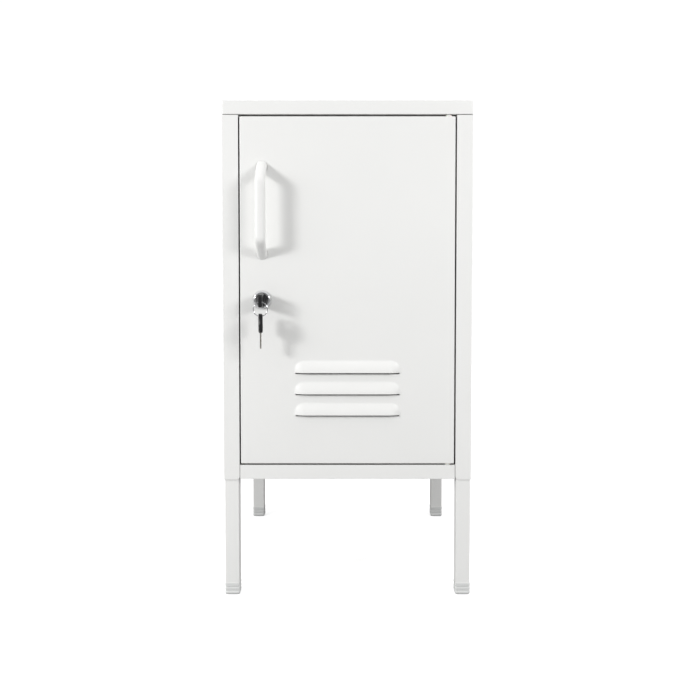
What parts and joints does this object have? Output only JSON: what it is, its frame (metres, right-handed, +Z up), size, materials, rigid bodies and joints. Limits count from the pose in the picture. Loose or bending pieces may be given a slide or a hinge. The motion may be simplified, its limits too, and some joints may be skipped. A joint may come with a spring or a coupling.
{
  "type": "locker cabinet",
  "caption": "White sheet steel bedside locker with a hinged louvred door, bow handle, cam lock with keys on a ring, an inner shelf and square legs with clear feet.",
  "frame": {"origin": "on the ground, under the middle of the whole object's box", "axes": "+Z up, the door faces -Y, +X to the viewer's right"},
  "size_m": [0.35, 0.438, 0.7],
  "materials": {
    "paint": "satin powder coat",
    "zinc": "bright zinc plate",
    "chrome": "polished",
    "dark_chrome": "brushed dark plate",
    "nickel": "nickel plate",
    "black_plastic": "satin moulded",
    "rubber": "matte",
    "clear_plastic": "translucent",
    "nylon": "satin moulded"
  },
  "bodies": {
    "cabinet": {"top_panel": "paint", "left_side_panel": "paint", "right_side_panel": "paint", "back_panel": "paint", "bottom_panel": "paint", "shelf": "paint", "left_shelf_support": "paint", "right_shelf_support": "paint", "front_left_leg": "paint", "front_right_leg": "paint", "back_left_leg": "paint", "back_right_leg": "paint", "front_left_foot": "clear_plastic", "front_right_foot": "clear_plastic", "back_left_foot": "clear_plastic", "back_right_foot": "clear_plastic", "leg_bolts": "zinc", "leg_nuts": "zinc", "case_screws": "zinc", "case_nuts": "zinc", "top_hinge_plate": "zinc", "bottom_hinge_plate": "zinc", "top_hinge_pin": "zinc", "bottom_hinge_pin": "zinc", "door_bumpers": "rubber"},
    "door": {"door_panel": "paint", "door_stiffener": "paint", "top_hinge_bush": "nylon", "bottom_hinge_bush": "nylon", "handle": "paint", "handle_screws": "zinc", "lock_body": "chrome", "lock_nut": "zinc"},
    "lock_plug": {"lock_plug": "dark_chrome", "lock_cam": "zinc", "cam_screw": "zinc"},
    "key": {"key_head": "black_plastic", "key_blade": "nickel"},
    "key_ring": {"key_ring": "chrome"},
    "spare_key": {"spare_key_head": "black_plastic", "spare_key_blade": "nickel"}
  },
  "joints": [
    {"name": "door_hinge", "type": "hinge", "parent": "cabinet", "child": "door", "pos_m": [0.142, -0.17796, 0.4335], "axis": [0, 0, 1], "range_deg": [0, 120]},
    {"name": "lock_turn", "type": "hinge", "parent": "door", "child": "lock_plug", "pos_m": [-0.12, -0.18296, 0.4215], "axis": [0, 1, 0], "range_deg": [0, 90]},
    {"name": "key_pull", "type": "slide", "parent": "lock_plug", "child": "key", "axis": [0, -1, 0], "range_m": [0, 0.024]},
    {"name": "ring_hang", "type": "hinge", "parent": "key", "child": "key_ring", "pos_m": [-0.12, -0.20876, 0.4145], "axis": [0, 1, 0], "range_deg": [-90, 0]},
    {"name": "spare_key_swing", "type": "hinge", "parent": "key_ring", "child": "spare_key", "pos_m": [-0.12, -0.20876, 0.4003], "axis": [0.9877, 0.1564, 0], "range_deg": [-25, 25]}
  ],
  "couplings": [
    {"joint": "ring_hang", "follows": "lock_turn", "ratio": -1}
  ]
}
